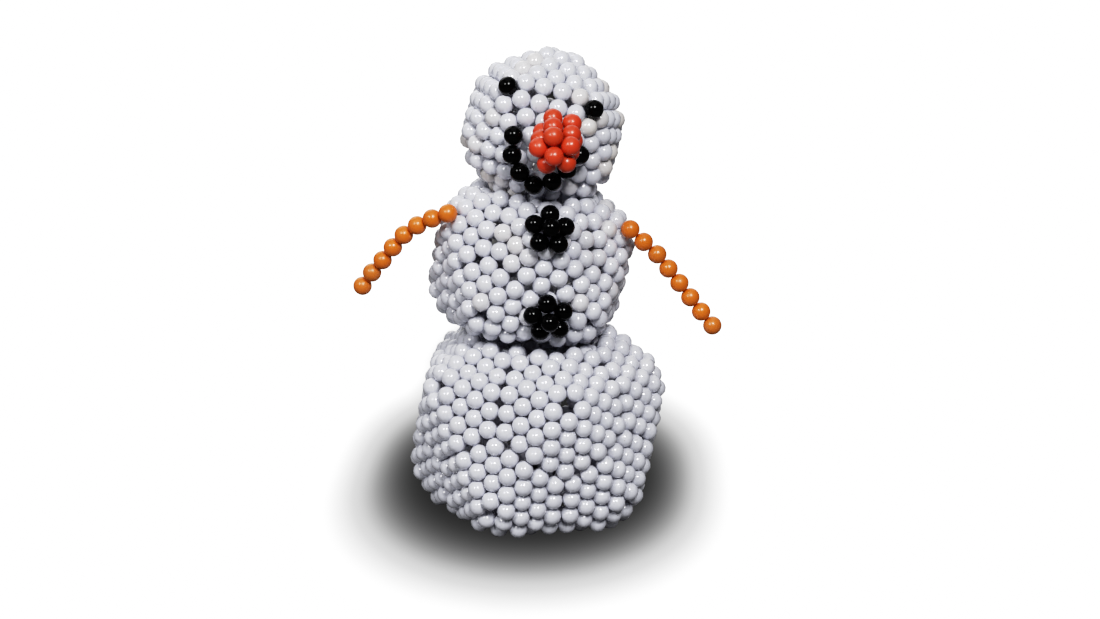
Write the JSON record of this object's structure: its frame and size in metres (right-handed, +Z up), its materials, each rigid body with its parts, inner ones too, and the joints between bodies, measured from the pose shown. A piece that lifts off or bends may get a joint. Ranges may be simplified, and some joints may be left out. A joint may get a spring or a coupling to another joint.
{
  "type": "toy snowman",
  "caption": "Tabletop snowman figure built of small painted ball magnets: three stacked hollow ball shells with eyes, mouth, nose, buttons and two arms.",
  "frame": {"origin": "middle of the flat bottom of the lowest shell, on the surface it stands on", "axes": "+Z up; the face looks along -Y; +X is the right-hand side seen from the front"},
  "size_m": [0.0982, 0.0691, 0.1266],
  "materials": {
    "white_paint": "glossy",
    "black_paint": "glossy",
    "red_paint": "satin",
    "orange_paint": "satin"
  },
  "bodies": {
    "root": {"base_shell": "white_paint", "torso_shell": "white_paint", "head_shell": "white_paint", "left_eye": "black_paint", "right_eye": "black_paint", "mouth_1": "black_paint", "mouth_2": "black_paint", "mouth_3": "black_paint", "mouth_4": "black_paint", "mouth_5": "black_paint", "mouth_6": "black_paint", "mouth_7": "black_paint", "nose_01": "red_paint", "nose_02": "red_paint", "nose_03": "red_paint", "nose_04": "red_paint", "nose_05": "red_paint", "nose_06": "red_paint", "nose_07": "red_paint", "nose_08": "red_paint", "nose_09": "red_paint", "nose_10": "red_paint", "nose_11": "red_paint", "nose_12": "red_paint", "nose_13": "red_paint", "nose_14": "red_paint", "nose_15": "red_paint", "nose_16": "red_paint", "upper_button_1": "black_paint", "upper_button_2": "black_paint", "upper_button_3": "black_paint", "upper_button_4": "black_paint", "upper_button_5": "black_paint", "upper_button_6": "black_paint", "lower_button_1": "black_paint", "lower_button_2": "black_paint", "lower_button_3": "black_paint", "lower_button_4": "black_paint", "lower_button_5": "black_paint", "lower_button_6": "black_paint", "left_arm_1": "orange_paint", "left_arm_2": "orange_paint", "left_arm_3": "orange_paint", "left_arm_4": "orange_paint", "left_arm_5": "orange_paint", "left_arm_6": "orange_paint", "left_arm_7": "orange_paint", "left_arm_8": "orange_paint", "right_arm_1": "orange_paint", "right_arm_2": "orange_paint", "right_arm_3": "orange_paint", "right_arm_4": "orange_paint", "right_arm_5": "orange_paint", "right_arm_6": "orange_paint", "right_arm_7": "orange_paint", "right_arm_8": "orange_paint"}
  },
  "joints": []
}
